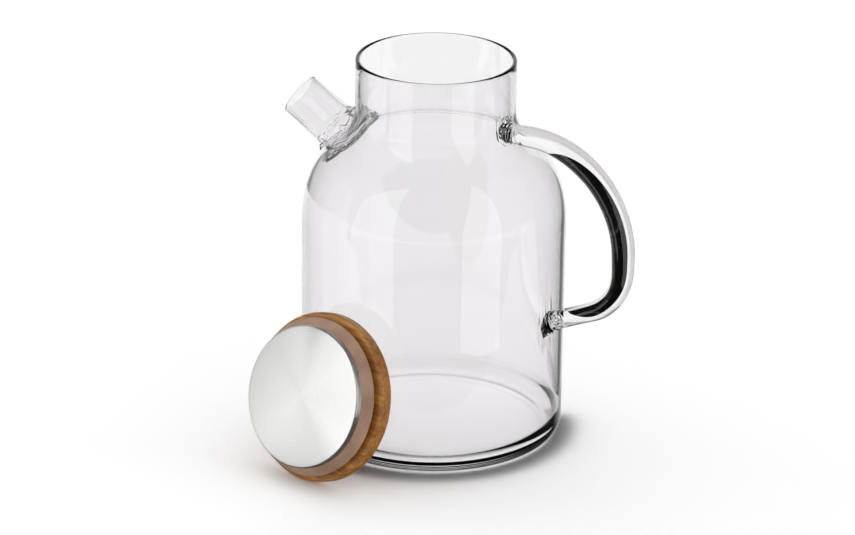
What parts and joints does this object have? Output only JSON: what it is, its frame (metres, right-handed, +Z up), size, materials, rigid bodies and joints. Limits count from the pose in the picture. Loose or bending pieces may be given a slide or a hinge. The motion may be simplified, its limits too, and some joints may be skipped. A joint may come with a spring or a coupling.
{
  "type": "glass jug",
  "caption": "Tall round glass jug with a short tube spout on the shoulder, a rod loop handle and a wood, silicone and steel lid leaning beside it.",
  "frame": {"origin": "centre of the jug's base, on the surface it stands on", "axes": "+Z up along the jug's axis, +X towards the handle, -X towards the spout"},
  "size_m": [0.1944, 0.1716, 0.1935],
  "materials": {
    "glass": "clear blown borosilicate glass, fire polished",
    "bamboo": "turned and oiled",
    "silicone": "matt translucent moulding",
    "steel": "radially brushed"
  },
  "bodies": {
    "jug": {"glass_body": "glass", "spout": "glass", "handle": "glass"},
    "lid": {"bamboo_disc": "bamboo", "seal_ring": "silicone", "steel_cap": "steel"}
  },
  "joints": [
    {"name": "lid_away", "type": "slide", "parent": "jug", "child": "lid", "axis": [-0.1815, -0.9336, 0.309], "range_m": [0, 0.12]}
  ]
}
